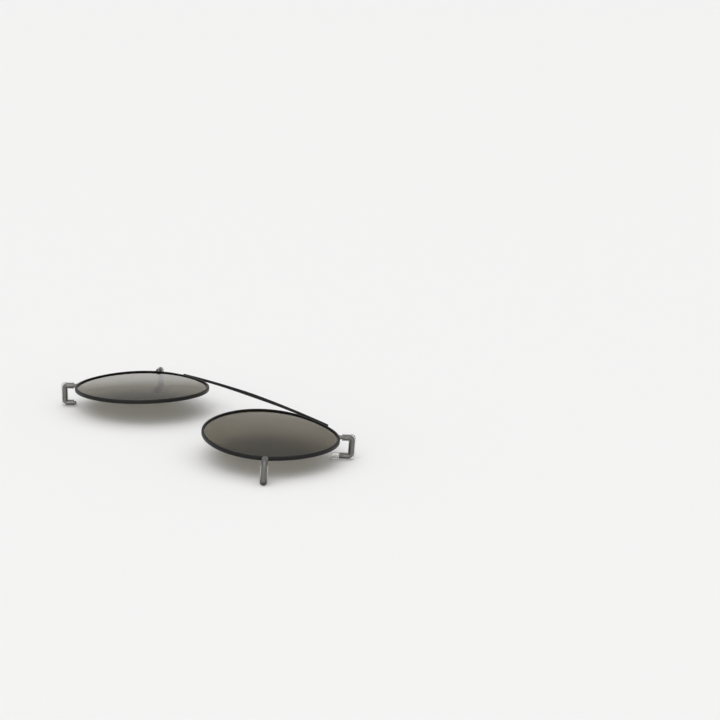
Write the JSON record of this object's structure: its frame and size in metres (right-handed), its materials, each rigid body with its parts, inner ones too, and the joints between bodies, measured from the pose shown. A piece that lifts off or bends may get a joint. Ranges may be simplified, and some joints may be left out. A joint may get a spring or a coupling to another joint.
{
  "type": "clip-on sunglasses",
  "caption": "Clip-on sunglasses: tinted laminated lenses in slim metal rims on a bowed brow bar, with sleeved wire hooks that grip a spectacle front.",
  "frame": {"origin": "middle of the bridge on the surface under the hooks, with the clip lying face up", "axes": "+X to the wearer's left, +Y up the lenses to the brow bar, +Z out of the lenses' front"},
  "size_m": [0.1138, 0.0451, 0.0103],
  "materials": {
    "rim_metal": "satin black lacquer",
    "bar_metal": "satin black lacquer",
    "lens_sheet": "gloss, grey-brown tint",
    "polarising_film": "tinted film inside the laminate",
    "hook_wire": "bright drawn wire",
    "braze": "dull brazing metal",
    "clear_sleeve": "clear soft plastic"
  },
  "bodies": {
    "root": {"rim_right": "rim_metal", "lens_front_sheet_right": "lens_sheet", "polarising_film_right": "polarising_film", "lens_back_sheet_right": "lens_sheet", "bar_braze_right": "rim_metal", "hook_upper_right": "hook_wire", "sleeve_upper_right": "clear_sleeve", "hook_braze_upper_right": "braze", "hook_lower_right": "hook_wire", "sleeve_lower_right": "clear_sleeve", "hook_braze_lower_right": "braze", "rim_left": "rim_metal", "lens_front_sheet_left": "lens_sheet", "polarising_film_left": "polarising_film", "lens_back_sheet_left": "lens_sheet", "bar_braze_left": "rim_metal", "hook_upper_left": "hook_wire", "sleeve_upper_left": "clear_sleeve", "hook_braze_upper_left": "braze", "hook_lower_left": "hook_wire", "sleeve_lower_left": "clear_sleeve", "hook_braze_lower_left": "braze", "brow_bar": "bar_metal"}
  },
  "joints": []
}
